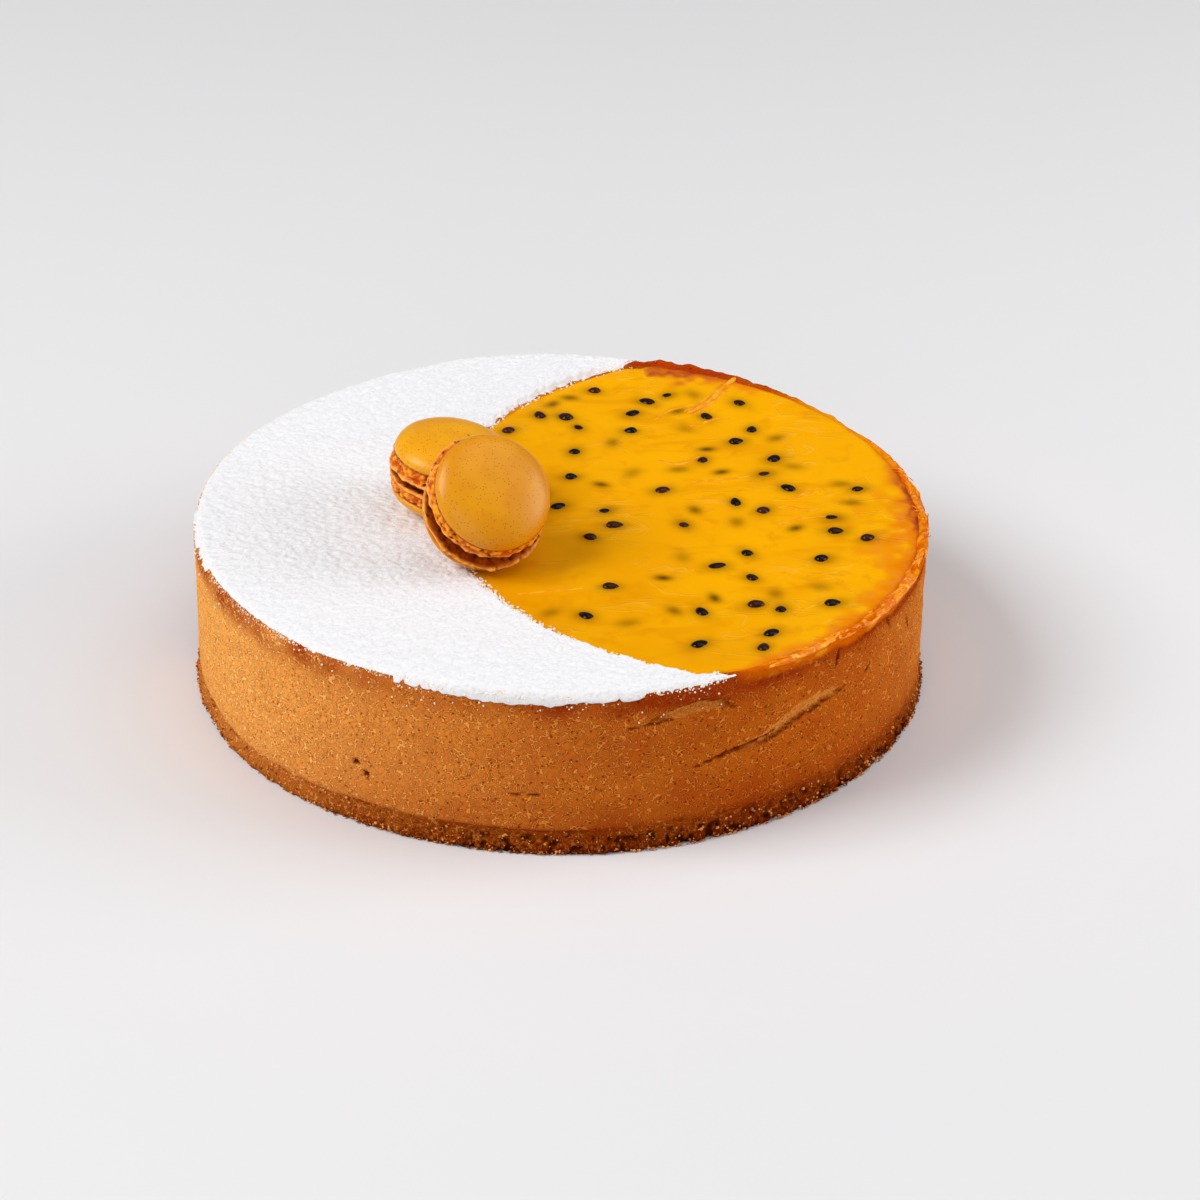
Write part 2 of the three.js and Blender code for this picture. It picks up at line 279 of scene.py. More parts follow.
class Finish:
    def __init__(self, name, colours, **shader):
        self.colours = colours
        self.material = bpy.data.materials.new(name)
        self.material.use_nodes = True
        self.tree = self.material.node_tree
        self.shader = self.tree.nodes["Principled BSDF"]
        self.set(**shader)
        self.place = self.node("TexCoord", {}, {}, "Object")

    def node(self, kind, settings, sockets, out=0):
        made = self.tree.nodes.new("ShaderNode" + kind)
        for name, value in settings.items():
            setattr(made, name, value)
        for name, value in sockets.items():
            self.feed(made.inputs[name], value)
        return Value(self, made.outputs[out])

    def feed(self, socket, value):  # a link, one of the piece's colours by its name, or a plain value
        if isinstance(value, Value):
            self.tree.links.new(value.socket, socket)
        else:
            socket.default_value = self.colours[value] if isinstance(value, str) else value

    def set(self, **sockets):
        for name, value in sockets.items():
            self.feed(self.shader.inputs[name.replace("_", " ")], value)

    def noise(self, size, detail=2.0, distortion=0.0, place=None):  # size of the bumps in millimetres
        sockets = {"Scale": 1000 / size, "Detail": detail, "Distortion": distortion}
        return self.node("TexNoise", {}, {"Vector": place or self.place, **sockets})

    def dots(self, spacing, radius, share):  # round dots, one in some of the cells
        cells = self.node("TexVoronoi", {}, {"Vector": self.place, "Scale": 1000 / spacing})
        pick = self.node("SeparateColor", {}, {"Color": Value(self, cells.socket.node.outputs["Color"])})
        edge = radius / spacing
        return (1 - cells.above(0.6 * edge, edge)) * pick.above(1 - share, 1.02 - share)

    def squiggles(self, size, away, share):  # short wavy lines this far apart, and the shade beside them
        shifted = self.node("VectorMath", {"operation": "ADD"}, {0: self.place, 1: (away, away, away)})
        off = abs(self.noise(size, 0.0, 0.0, shifted) - 0.5)
        shown = self.noise(size / 0.73, 0.0, 0.0, shifted).above(0.5 - share, 0.58 - share)
        line = 1 - off.above(0.01, 0.04)
        shade = off.above(0.03, 0.05) * (1 - off.above(0.07, 0.1))
        return line * shown, shade * shown

    def mark(self, name):
        return self.node("Attribute", {"attribute_name": name}, {}, "Fac")

    def mix(self, share, first, second):  # sockets 6 and 7 take the colours, 2 gives the mix
        return self.node("Mix", {"data_type": "RGBA"}, {0: share, 6: first, 7: second}, 2)

    def layers(self, colour, *coats):  # each coat has its share and its colour
        for share, coat in coats:
            colour = self.mix(share, colour, coat)
        return colour

    def bump(self, height, depth, strength=1.0):  # depth in millimetres for a height of 1
        sockets = {"Height": height, "Distance": depth * 0.001, "Strength": strength}
        self.set(Normal=self.node("Bump", {}, sockets))


def rgb(*screen):  # red, green and blue as on a screen, 0 to 255
    shares = [value / 255 for value in screen]
    linear = [v / 12.92 if v <= 0.04045 else ((v + 0.055) / 1.055) ** 2.4 for v in shares]
    return (*linear, 1.0)


# Pastry case

pastry = {
    # columns: from and to in degrees, steps in millimetres
    "front": (-190, 12), "frontStep": 0.65, "back": (12.2, 169.8), "backStep": 1.4,
    "rowStep": 0.8, "bandHeight": 7.7,
    # some colours are painted light and shade: the lit-side yellow and the lit copies of the curl and
    # groove colours are painted light
    "golden": rgb(212, 110, 19), "amber": rgb(193, 86, 13), "litSide": rgb(255, 178, 86),
    # the toasted brown also serves painted shade, and the dark brown the painted shade in the band's crease
    "toastAndShadeBrown": rgb(156, 50, 9), "dark": rgb(88, 25, 0),
    "curl": rgb(246, 158, 62), "litSideCurl": rgb(255, 212, 128), "speck": rgb(255, 222, 166),
    # the groove, hole, slit and void browns are painted shade in the hollows
    "grooveShade": rgb(136, 38, 0), "litSideGrooveShade": rgb(202, 90, 12), "hole": rgb(112, 30, 0),
    "pale": rgb(228, 146, 60), "recessShade": rgb(104, 30, 0), "void": rgb(46, 10, 0),
    "ember": rgb(190, 64, 5), "gilt": rgb(232, 154, 14),
    "glazed": rgb(218, 100, 1), "strand": rgb(240, 146, 20),
    "plainCrack": {"skew": 1.0, "lip": 1, "pale": 0.0},  # an even slit filled with painted shade, unless a crack says more
    "cracks": [  # paths go by degrees round and height
        {"path": [(-77, 45.0), (-75.5, 45.9), (-72.2, 47.4), (-69.1, 48.3), (-65.6, 47.4), (-63.2, 44.8)],
         "width": 1.9, "depth": 1.2, "pale": 0.6},
        {"path": [(-69.5, 26.8), (-64, 29.7), (-58, 30.9), (-56.2, 32.4), (-51.5, 36.2), (-47.5, 37.7),
                  (-42.2, 37.3)], "width": 2.7, "depth": 1.5, "skew": 1.9, "lip": -1, "pale": 0.9},
        {"path": [(-70, 26.6), (-64, 29.5), (-58, 30.7), (-55.5, 32.0)], "width": 0.6, "depth": 1.1},
        {"path": [(-58.4, 41.6), (-57.0, 41.6)], "width": 0.8, "depth": -0.5, "pale": 1.0},
        {"path": [(-80, 43.6), (-76.5, 44.2), (-73, 45.4)], "width": 0.38, "depth": 0.6},
        {"path": [(-44.6, 44.8), (-44, 48.5), (-43.8, 52.4)], "width": 0.48, "depth": 1.3, "skew": 1.3},
        {"path": [(-31.0, 51.8), (-30.2, 48.5), (-29.4, 45.8)], "width": 0.45, "depth": 1.0},
        {"path": [(-23.4, 45.0), (-21.7, 37.6)], "width": 0.4, "depth": 0.9},
        {"path": [(-36.8, 37.0), (-35.3, 38.8)], "width": 0.6, "depth": 1.1},
        {"path": [(-97.5, 20.6), (-95, 20.9), (-92.4, 20.3)], "width": 0.3, "depth": 0.7},
        {"path": [(-122.3, 21.6), (-121.0, 20.2)], "width": 1.2, "depth": 1.7},
        {"path": [(-120.4, 18.9), (-119.4, 16.6)], "width": 1.0, "depth": 1.6},
    ],
}


def alongPath(across, height, path):  # share of the way along a path, and the distance to its left
    corners = np.array([(math.radians(a) * tart["radius"], z) for a, z in path])
    lengths = np.linalg.norm(np.diff(corners, axis=0), axis=1)
    best = np.full(across.shape, 1e9)
    share = np.zeros(across.shape)
    side = np.zeros(across.shape)
    for k, (start, end) in enumerate(zip(corners, corners[1:])):
        run = (end - start) / lengths[k]
        dx, dz = across - start[0], height - start[1]
        t = np.clip(dx * run[0] + dz * run[1], 0, lengths[k])
        distance = np.hypot(dx - t * run[0], dz - t * run[1])
        nearer = distance < best
        best = np.where(nearer, distance, best)
        share = np.where(nearer, (lengths[:k].sum() + t) / lengths.sum(), share)
        side = np.where(nearer, run[0] * dz - run[1] * dx, side)
    return share, np.where(side < 0, -best, best)


def cutCrack(crack, across, height, points):
    share, side = alongPath(across, height, crack["path"])
    opening = np.maximum(np.sin(math.pi * share ** crack["skew"]), 0) ** 0.8 + 0.05
    half = crack["width"] * opening * (1 + 0.25 * noiseAt(points, 2.5, 77))
    place = crack["lip"] * side / half
    floor = ease(place, -1, 0.55) * (1 - ease(place, 0.7, 1.0))
    inside = ease(1 - np.abs(place), 0, 0.2)
    line = hump(side * crack["lip"], half * 0.95, 0.24 + 0.06 * half)  # painted shade in the slit under the lip
    # narrow cracks are filled with painted shade
    dark = inside * (1 - crack["pale"]) * (crack["depth"] > 0)
    recessShade = np.maximum(line, dark * (1 - ease(half, 1.0, 1.6) * (crack["pale"] > 0)))
    lining = inside * crack["pale"] * ease(half, 0.6, 1.4)
    return crack["depth"] * opening ** 0.5 * floor, lining, recessShade * (np.abs(place) < 1.6)


def caseColumns():  # closer together on the side that is seen
    sides = [
        np.arange(*pastry[side], math.degrees(pastry[side + "Step"] / tart["radius"]))
        for side in ("front", "back")
    ]
    return np.radians(np.concatenate(sides))[:, None]


def caseProfile():  # from under the base, up the wall, over the rim and down inside
    radius, floor = tart["radius"], tart["floor"]
    half, crown = tart["wall"] / 2, tart["rimCrown"]
    arc = np.linspace(0, math.pi, 9)
    return [(30, 0, 30), (90, 0, 15), (114, 0, 1.4), (118.4, 0, 0.6), (radius - 0.4, 0.9, 0.6),
            (radius, 11, pastry["rowStep"]),
            *[(crestRadius + half * math.cos(t), rimBase + crown * math.sin(t), 0.55) for t in arc],
            (insideRadius, 51, 10), (insideRadius, 10, 9), (insideRadius - 3, floor, 30), (30, floor, 1)]


def wallCrumb(points):  # slow unevenness, fine crumb and open pores
    push = bumps(points, (0.3, 30, 1), (0.2, 9, 2), (0.12, 3.4, 3), (0.12, 1.7, 4))
    away, own = cellsAt(points, 4.2, 5)
    size = 0.4 + 0.45 * own
    pores = (1 - ease(away, 0.35 * size, size)) * (own > 0.72)
    return push - 0.5 * pores, pores


def pastryCase():
    theta = caseColumns()
    rowRadius, rowHeight, normal = profileRows(caseProfile())
    r = rowRadius * sideScale(theta)
    z = rowHeight + 0 * theta
    points = roundGrid(r, z, theta)
    across = tart["radius"] * theta + 0 * r
    turn = degreesRound(theta)
    bare = bareShare(points)
    push, pores = wallCrumb(points)

    # rough band at the foot, under a wavy crease that fades out towards the right
    wander = 0.7 * noiseAt(roundGrid(tart["radius"], 0 * theta, theta), 24, 6)
    crease = pastry["bandHeight"] - 2.2 * hump(turn, -165, 45) + wander
    clear = 0.2 + 0.8 * (1 - ease(turn, -100, -70))
    band = 1 - ease(z, crease - 1.4 - 4 * (1 - clear), crease + 0.8 + 5 * (1 - clear))
    push -= 0.7 * clear * hump(z, crease, 0.6) * (0.6 + 0.4 * noiseAt(points, 14, 7))
    push += band * (0.4 + bumps(points, (0.3, 3.2, 9), (0.35, 1.6, 10)))
    crumb, ownCrumb = cellsAt(points, 2.0, 8)
    bits = 0.45 * noiseAt(points, 1.7, 11) + 0.8 * (ownCrumb - 0.5) * (1 - ease(crumb, 0.3, 1.2))
    push += footShare(z) * bits + footFlare(z, turn)
    # voids in the band, painted nearly black: painted shade in the hollows
    void = ease(bumps(points, (0.7, 2.2, 44), (0.8, 1.2, 46)), 0.15, 0.55)
    void *= band * ease(turn, -128, -96) * (1 - ease(turn, -10, 30)) * (1 - 0.6 * ease(z, 3, 9))
    push -= 0.7 * void

    # cracks, with painted shade in their slits
    pale, recessShade = np.zeros(r.shape), np.zeros(r.shape)
    for crack in pastry["cracks"]:
        depth, inside, shadow = cutCrack({**pastry["plainCrack"], **crack}, across, z, points)
        push = push * (1 - 0.6 * inside) - depth
        pale, recessShade = np.maximum(pale, inside), np.maximum(recessShade, shadow)

    # rim: lumpy and toasted behind, and on the right a glazed seat for the strands
    rim = ease(z, 52.6, 54.4) * ease(r, insideRadius + 0.3, insideRadius + 1.5)
    glazed = hump(turn, -14, 60) * bare
    gilt = hump(turn, *tart["runOver"]) * bare
    behind = hump(turn, 70, 20) * ease(turn, 36, 52)
    lumpy = bumps(points, (0.6, 3.2, 12), (0.6, 1.8, 13))
    strands = noiseAt(np.stack((0.3 * across, rowRadius + 0.4 * z, z), axis=-1), 1.5, 15)
    coated = glazed * ease(z + 1.3 * noiseAt(points, 5, 45), 51.4, 53.6) * ease(rowRadius, 115.5, 117)
    push = push * (1 - 0.5 * rim) + rim * (0.3 * lumpy - 0.1)
    push += hump(rowRadius, 117.8, 1.6) * bare * rim * (0.3 + (0.6 + lumpy) * behind)
    seat = hump(np.hypot(rowRadius - rope["seat"][0], rowHeight - rope["seat"][1]), 0, 2.0)
    seat = seat * np.clip(1.5 * glazed - behind, 0, 1)
    push += seat * (0.3 + 0.4 * noiseAt(points, 5, 14) + 0.4 * strands + 0.35 * lumpy)

    # the rim rises and falls, leans over the wall, and dips where custard runs over it
    shift = push * ease(rowRadius, insideRadius + 0.5, insideRadius + 2) * ease(rowHeight, 0.0, 1.2)
    high = ease(z, 0.7 * tart["height"], tart["height"])
    lean = 1.5 * bare * np.clip((z - rimBase) / tart["rimCrown"], 0, 1)
    dip = 1.3 * gilt * high + 1.2 * bare * rim * (1 - ease(rowRadius, 115.6, 116.8))
    height = np.maximum(z + high * rimLift(theta) + shift * normal[:, 1] - dip, 0)
    grid = roundGrid(r + lean + shift * normal[:, 0], height, theta)

    # baking: darker above, below and behind; painted shade under the strands and on the front right, and
    # less darkening below on the lit left
    around = 0.25 + 0.75 * ease(turn, -150, -98)
    topBrown = ease(z, 44, 52) * (0.6 + 0.5 * noiseAt(points, 9, 16)) * (1 - 0.3 * glazed)
    lowBrown = (1 - ease(z, 7, 25)) * (0.55 + 0.3 * noiseAt(points, 15, 19)) * around
    toastAndShade = 1.1 * topBrown + 0.7 * lowBrown + 0.28 * ease(turn, -100, -60) * (1 - ease(turn, -45, 0))
    toastAndShade += 0.9 * rim * behind * (0.7 + 0.4 * noiseAt(points, 7, 17))
    toastAndShade += 0.5 * glazed * hump(z, 51.2, 1.6) * (0.7 + 0.6 * noiseAt(points, 6, 47))
    toastAndShade += 0.7 * clear * hump(z, crease, 0.5) * (0.6 + 0.6 * noiseAt(points, 6, 20))
    # the band and the very foot darker, with painted shade in the crease; both fade towards the lit left
    dark = np.clip(0.7 * band + 0.4 * clear * hump(z, crease, 0.9) + 0.35 * footShare(z), 0, 1)
    marks = {
        "toastAndShade": np.clip(toastAndShade, 0, 1) * (1 - 0.8 * gilt * rim),
        "band": dark * (0.3 + 0.7 * around),
        # painted light on the left and the far right
        "litSide": (hump(turn, -168, 55) + 0.3 * hump(turn, -5, 25)) * (1 - 0.6 * band),
        "glaze": np.clip(1.5 * coated - behind, 0, 1),
        "strand": ease(strands + 0.5 * lumpy, 0.0, 0.55),
        "gilt": np.clip(gilt * rim * (1 + 0.6 * noiseAt(points, 4, 48)), 0, 1),
        "ember": np.clip(1.4 * rim * behind, 0, 1) * (0.6 + 0.4 * noiseAt(points, 4, 49)),
        "pale": pale * (1 - recessShade),
        # painted shade in the slits and the open pores
        "recessShade": np.maximum(recessShade, 0.6 * pores * (1 - rim)),
        "void": void,
    }
    points, faces = closedRound(grid, (0, 0, 0), (0, 0, tart["floor"]))
    meshPiece("pastryCase", points, faces, pastryFinish(), "crust", marks)


def pastryFinish():
    finish = Finish("bakedPastry", pastry, Specular_IOR_Level=0.0)
    toastAndShade, band, litSide, glaze, pale = map(finish.mark, ("toastAndShade", "band", "litSide", "glaze", "pale"))
    wide, wideShade = finish.squiggles(1.8, 0.0, 0.2)
    small, smallShade = finish.squiggles(1.4, 0.37, 0.15)
    line = wide.larger(small) * (1 - pale)
    grooveShade = wideShade.larger(smallShade) * (1 - line)
    grain, cloud = finish.noise(0.9), finish.noise(16, 3.0)
    hole, speck = finish.dots(2.0, 0.5, 0.55), finish.dots(2.1, 0.22, 0.2)
    bare = (1 - glaze) * (1 - litSide * 0.5)
    colour = finish.layers(
        finish.mix(cloud.above(0.35, 0.68), "golden", "amber"),
        # painted light on the left and the far right
        (litSide * 0.95, "litSide"),
        (grain.above(0.42, 0.7) * (0.25 - litSide * 0.2), "toastAndShadeBrown"),
        # baked brown, with painted shade under the strands and on the front right
        (toastAndShade, "toastAndShadeBrown"),
        # the dark band, with painted shade in its crease
        (band * (0.52 + 0.9 * grain), "dark"),
        (pale, "pale"),
        # raised wavy lines of crumb with painted highlight on them and painted shade in a groove on both
        # sides, lighter on the lit side
        (grooveShade * (0.62 + litSide * 0.25), finish.mix(litSide, "grooveShade", "litSideGrooveShade")),
        (line * (0.55 + litSide * 0.3 - toastAndShade * 0.4) * (1 - band * 0.4),
         finish.mix(litSide, "curl", "litSideCurl")),
        # the rim, then painted shade in the pinholes, the voids and the slits, and specks
        (glaze, finish.mix(finish.mark("strand"), "glazed", "strand")),
        (finish.mark("gilt") * 0.85, "gilt"),
        (finish.mark("ember"), "ember"),
        (hole * bare * 0.8, "hole"),
        (finish.mark("void") * 0.9, "void"),
        (finish.mark("recessShade") * 0.95, "recessShade"),
        (speck * bare * 0.85, "speck"),
    )
    finish.set(Base_Color=colour, Roughness=0.8 - glaze * 0.5)
    finish.bump(line * 0.7 - grooveShade * 0.1 + grain * 0.3 - hole * 0.4 + speck * 0.4, 0.15)
    return finish


# Custard and its seeds

custard = {
    "columns": 600, "spacing": 1.15, "swell": 1.5, "overRim": 4.8,
    "sunkCount": 27, "sunkStart": 977, "sunkReach": 104, "sunkSpacing": 6,
    "amber": rgb(222, 146, 1), "yellow": rgb(229, 158, 1), "deep": rgb(214, 129, 0),
    # the murky brown is painted shade round the seeds that show, and the shadows of sunk seeds
    "sunlit": rgb(254, 180, 1), "strand": rgb(255, 200, 90), "seedShade": rgb(72, 42, 3),
    "orange": rgb(226, 116, 4), "rosy": rgb(228, 138, 60), "browned": rgb(168, 64, 32),
}
seeds = {
    "count": 46, "start": 4711, "formStart": 53, "sides": 22, "rings": 14,
    "length": 6.2, "width": 4.3, "thickness": 2.8, "plump": 1.35,
    "proud": 0.8, "rise": 0.45, "sinks": 0.75,  # how far they stand out or sink in
    "spacing": 7.5, "inset": 11.0, "margin": 5.5, "macaronGap": 6.6,
    "black": rgb(16, 12, 11), "brown": rgb(66, 30, 16),
}


def seedPlaces():  # the same draw as the solids, so each seed lies on its own bump
    draw = drawsFrom(seeds["start"]).__next__
    reach = tart["radius"] - seeds["inset"]
    macaronAt, macaronReach = macarons["front"]["at"], macarons["front"]["lip"] + seeds["macaronGap"]
    places = []
    while len(places) < seeds["count"]:
        x, y = drawPair(draw, reach)
        turn, size, proud = math.pi * draw(), 0.88 + 0.24 * draw(), seeds["proud"] * (0.6 + 0.6 * draw())
        clear = (
            math.hypot(x, y) < reach
            and math.dist((x, y), stencilCentre) < tart["stencilRadius"] - seeds["margin"]
            and math.dist((x, y), macaronAt) > macaronReach
            and all(math.dist((x, y), other[:2]) > seeds["spacing"] for other in places)
        )
        if clear:
            places.append((x, y, turn, size, proud))
    return places


def sunkPlaces(shown):  # seeds that only show as blurred shadows
    draw = drawsFrom(custard["sunkStart"]).__next__
    reach = custard["sunkReach"]
    places = []
    while len(places) < custard["sunkCount"]:
        x, y = drawPair(draw, reach)
        turn, depth = math.pi * draw(), draw()
        inside = math.hypot(x, y) < reach and math.dist((x, y), stencilCentre) < tart["stencilRadius"] - 4
        gaps = [math.dist((x, y), other[:2]) for other in [*shown, *places]]
        if inside and min(gaps) > custard["sunkSpacing"]:
            places.append((x, y, turn, depth))
    return places


def custardLevel(r, angle):  # the top swells a little towards the bare rim
    bare = bareShare(roundGrid(r, 0 * r, angle))
    return tart["custardTop"] + bare * (custard["swell"] + rimLift(angle)) * ease(r, 92, 116)


def blot(points, x, y, turn, length, width):
    dx, dy = points[..., 0] - x, points[..., 1] - y
    along = dx * math.cos(turn) + dy * math.sin(turn)
    across = dy * math.cos(turn) - dx * math.sin(turn)
    return np.exp(-((along / length) ** 2 + (across / width) ** 2))


def custardFill(shown):
    edge, foot = insideRadius - 0.3, tart["custardFoot"]
    angle = roundAngles(custard["columns"])
    turn = degreesRound(angle)
    bareRim = bareShare(roundGrid(crestRadius, 0 * angle, angle))
    reach = edge + (custard["overRim"] + hump(turn, *tart["runOver"])) * bareRim
    top = reach * np.linspace(1, 0, round(edge / custard["spacing"]))[:-1]
    flat = roundGrid(top, 0 * top, angle)

    # browned and warm edges, widest behind and on the right
    gone = reach - top
    toasty = np.clip(hump(turn, 75, 17) + hump(turn, 3, 16), 0, 1)
    uneven = 1 + bumps(flat, (0.55, 8, 22), (0.4, 3.5, 27))
    width = (2 + 11 * hump(turn, 72, 17) + 5 * hump(turn, 3, 16) + 1.5 * noiseAt(flat, 21, 21)) * uneven
    warmWidth = (1.5 + 5 * hump(turn, -34, 26) + 16 * hump(turn, -4, 15) + 9 * hump(turn, 72, 20)) * uneven
    browned = (1 - ease(gone, 0.35 * width, np.maximum(width, 0.5) * 1.2)) * bareRim * toasty
    warm = (1 - ease(gone, 0, np.maximum(warmWidth, 0.8) * 1.6)) * bareRim
    soaked = hump(stencilAway(flat), tart["stencilRadius"] - 0.6, 1.1)
    soaked *= ease(flat[..., 1], 20, 45)  # brown crumb along the far edge of the sugar

    # blurred shadows of sunk seeds, and painted shade in the custard round those that show
    sunk, haloShade = np.zeros(top.shape), np.zeros(top.shape)
    for x, y, seedTurn, depth in sunkPlaces(shown):
        shadow = blot(flat, x, y, seedTurn, 3.1 + 1.2 * depth, 2.0 + 1.0 * depth)
        sunk = np.maximum(sunk, shadow * (0.95 - 0.6 * depth))
    for x, y, seedTurn, size, _ in shown:
        haloShade = np.maximum(haloShade, blot(flat, x, y - 0.5, seedTurn, 4.5 * size, 3.3 * size))

    # the top, closed by a plain hidden underside
    ripple = bumps(flat, (0.1, 16, 24), (0.06, 5, 25))
    ripple += 0.6 * browned * noiseAt(flat, 3.0, 26)
    height = custardLevel(top, angle) + ripple - 1.6 * bareRim * (1 - ease(gone, 0, 1.6)) + 0.15 * soaked
    under = np.array([(30, foot), (edge - 3, foot), (edge, foot + 3), (edge, 50)]) + 0 * angle[..., None]
    r = np.concatenate((under[..., 0], top), axis=1) * sideScale(angle)
    z = np.concatenate((under[..., 1], height), axis=1)
    named = {
        "browned": np.clip(np.maximum(browned, soaked), 0, 1), "warm": warm, "sunk": sunk, "haloShade": haloShade,
        "lit": ease(flat[..., 0] + 0.4 * flat[..., 1], -50, 70),
    }
    hidden = np.zeros(under.shape[:2])
    marks = {name: np.concatenate((hidden, values), axis=1) for name, values in named.items()}
    points, faces = closedRound(roundGrid(r, z, angle), (0, 0, foot), (0, 0, tart["custardTop"]))
    meshPiece("custardFill", points, faces, custardFinish(), "filling", marks)


def custardFinish():
    finish = Finish("glossyCustard", custard, Roughness=0.3, Specular_IOR_Level=0.02,
                    Specular_Tint=(1, 0.6, 0.1, 1))
    edge, warm = finish.mark("browned"), finish.mark("warm")
    cloud = finish.noise(30, 2.0, 0.6)
    smudge = finish.noise(9, 3.0, 0.5)
    patch = finish.noise(5, 2.0, 0.5)
    stretch = {"Vector": finish.place, "Scale": (0.6, 1.4, 1.0), "Rotation": (0, 0, 0.25)}
    flow = finish.noise(1000 / 62, 2.0, 1.1, finish.node("Mapping", {}, stretch))
    strand = (1 - abs(flow - 0.52).above(0.0, 0.024)) * finish.noise(24, 1.0).above(0.46, 0.58)
    finish.set(Base_Color=finish.layers(
        finish.mix(cloud.above(0.3, 0.7), "amber", "yellow"),
        (finish.mark("lit") * 0.55, "sunlit"),
        (flow.above(0.52, 0.72) * 0.32, "deep"),
        (smudge.above(0.52, 0.75) * 0.4, "deep"),
        (strand * 0.12, "strand"),
        (warm.above(0.0, 1.1) * (0.6 + 0.6 * smudge), "orange"),
        (warm.above(0.2, 0.9) * patch.above(0.45, 0.7) * 0.4, "rosy"),
        (edge.above(0.2, 1.0) * (0.4 + 0.6 * patch.above(0.3, 0.62)), "browned"),
        # painted shade round the seeds that show, and the shadows of sunk seeds
        (finish.mark("haloShade") * 0.65, "seedShade"),
        (finish.mark("sunk"), "seedShade"),
    ))
    finish.bump(strand * 0.6 + patch * edge + smudge * 0.15, 0.4, 0.7)
    return finish


def fruitSeeds(shown):
    turns = roundAngles(seeds["sides"])
    tilt = np.linspace(0, math.pi, seeds["rings"] + 2)[1:-1]
    draw = drawsFrom(seeds["formStart"]).__next__
    plump = seeds["thickness"] * seeds["plump"]
    parts, tints = [], []
    for x, y, turn, size, proud in shown:
        u = np.cos(tilt) + 0 * turns
        waist = np.sin(tilt) ** 0.8 * (1 - 0.2 * u)  # one end narrower
        half = np.array((seeds["length"] * (0.8 + 0.25 * draw()), seeds["width"], plump)) * 0.5 * size
        local = np.stack((u, waist * np.cos(turns), waist * np.sin(turns)), axis=-1) * half
        points, faces = closedRound(local, (half[0], 0, 0), (-half[0], 0, 0))
        lean = Matrix.Rotation(turn, 3, "Z") @ Matrix.Rotation(0.5 * (draw() - 0.5), 3, "Y")
        level = custardLevel(np.array(math.hypot(x, y)), np.array(math.atan2(y, x)))
        sinks = seeds["sinks"] * draw() ** 2
        at = np.array((x, y, level + proud + seeds["rise"] - sinks - half[2]))
        parts.append((points @ np.array(lean).T + at, [face[::-1] for face in faces]))
        tints.append(np.full(len(points), draw() ** 3))
    points, faces = joined(parts)
    finish = Finish("seedCoat", seeds, Roughness=0.14, Specular_IOR_Level=0.16,
                    Specular_Tint=(1, 0.8, 0.6, 1))
    brown = finish.mark("tint") * 0.9 + finish.noise(2.2, 1.0).above(0.5, 0.75) * 0.15
    finish.set(Base_Color=finish.mix(brown, "black", "brown"))
    meshPiece("fruitSeeds", points, faces, finish, "filling", {"tint": np.concatenate(tints)})


# Pulp strands lying on the custard

pulp = {
    "bundle": [(62, 103), (57.4, 96.5), (52.4, 86.5), (48.1, 80.5), (44, 76)],
    "curl": [(50, 84), (44, 82.5), (37, 78), (32, 71)],
    "threads": 8, "start": 3131, "scatter": 95, "reach": 110, "macaronGap": 26,
    "colour": rgb(236, 150, 6), "light": rgb(246, 172, 34),
}


def tube(spine, body):  # round about the spine, with this radius along it
    turns = roundAngles(8)
    run = np.gradient(spine, axis=0)
    length = np.hypot(run[:, 0], run[:, 1])
    side = np.stack((-run[:, 1] / length, run[:, 0] / length, 0 * length), axis=-1)
    ring = side * (body * np.cos(turns))[..., None]
    ring = ring + np.array((0, 0, 1)) * (0.8 * body * np.sin(turns))[..., None]
    points, faces = closedRound(spine + ring, spine[0], spine[-1])
    return points, [face[::-1] for face in faces]


def threadMesh(path, thick):  # a thin thread laid along a path on the custard
    steps = np.linspace(0, len(path) - 1, 14 * len(path))
    x, y = [np.interp(steps, np.arange(len(path)), line) for line in np.array(path, float).T]
    for line in (x, y):
        line[3:-3] = np.convolve(line, np.ones(7) / 7, "valid")
    level = custardLevel(np.hypot(x, y), np.arctan2(y, x))
    body = np.sin(math.pi * np.linspace(0.06, 0.94, len(x))) ** 0.4 * thick
    body *= 1 + 0.25 * np.sin(steps * 5.1)
    return tube(np.stack((x, y, level - 0.2 * body + 0.3 * (thick > 1)), axis=-1), body)


def pulpStrands():
    draw = drawsFrom(pulp["start"]).__next__
    threads = [threadMesh(pulp["bundle"], 1.2), threadMesh(pulp["curl"], 0.6)]
    for shift in (1.6, -1.3):  # two thinner threads beside the bundle
        beside = [(x + shift, y - 0.7 * shift + draw()) for x, y in pulp["bundle"][1:]]
        threads.append(threadMesh(beside, 0.8))
    while len(threads) < pulp["threads"] + 4:
        x, y = drawPair(draw, pulp["scatter"])
        bend, length = 5 * (2 * draw() - 1), 9 + 16 * draw()
        path = [(x + length * k, y + bend * math.sin(4.4 * k + 3 * bend) + 0.25 * length * k)
                for k in (0, 0.25, 0.5, 0.75, 1)]
        ends = np.array((path[0], path[2], path[-1]))
        fromMacaron = np.linalg.norm(ends - np.array(macarons["front"]["at"]), axis=1).min()
        clear = stencilAway(ends).max() < tart["stencilRadius"] - 3 and fromMacaron > pulp["macaronGap"]
        if clear and np.hypot(*ends.T).max() < pulp["reach"]:
            threads.append(threadMesh(path, 0.45 + 0.3 * draw()))
    points, faces = joined(threads)
    finish = Finish("fruitPulp", pulp, Roughness=0.3, Specular_IOR_Level=0.12)
    finish.set(Base_Color=finish.mix(finish.noise(3).above(0.4, 0.65), "colour", "light"))
    meshPiece("pulpStrands", points, faces, finish)


# Glazed strands wound along the bare rim on the right

